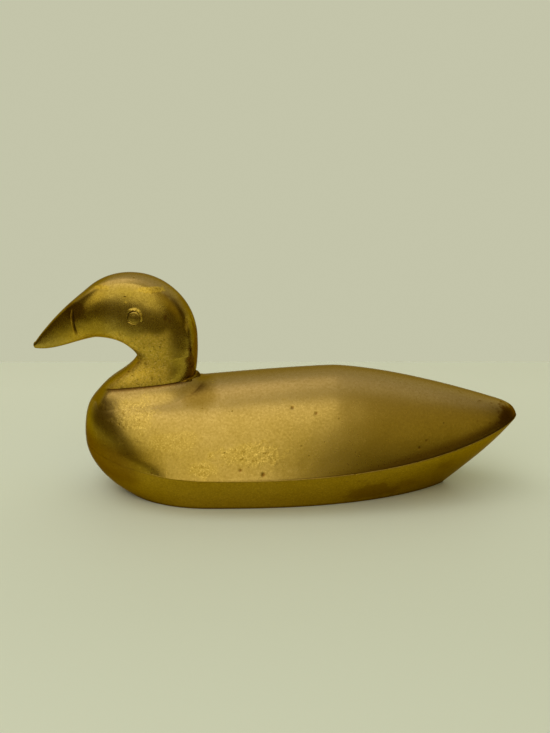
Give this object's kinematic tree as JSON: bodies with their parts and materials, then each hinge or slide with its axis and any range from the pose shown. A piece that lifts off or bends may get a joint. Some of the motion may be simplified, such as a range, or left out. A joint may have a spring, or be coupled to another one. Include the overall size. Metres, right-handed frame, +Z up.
{
  "type": "brass duck ornament",
  "caption": "Hollow cast brass duck with a flat resting face, a sharp side edge, a curved neck, engraved eye rings and beak lines.",
  "frame": {"origin": "centre of the whole duck's box in plan, on the plane of the flat resting face", "axes": "+X from the beak to the tail, +Y across the duck, +Z up; the duck is symmetric in Y"},
  "size_m": [0.305, 0.1006, 0.1375],
  "materials": {
    "body_brass": "satin, aged, with fine scratches and casting pits",
    "base_brass": "satin, tarnished in patches",
    "head_brass": "satin, aged, with fine scratches",
    "braze": "uneven, dark tarnish"
  },
  "bodies": {
    "root": {"back_casting": "body_brass", "bottom_casting": "base_brass", "head_casting": "head_brass", "neck_braze": "braze", "seam_braze": "braze"}
  },
  "joints": []
}
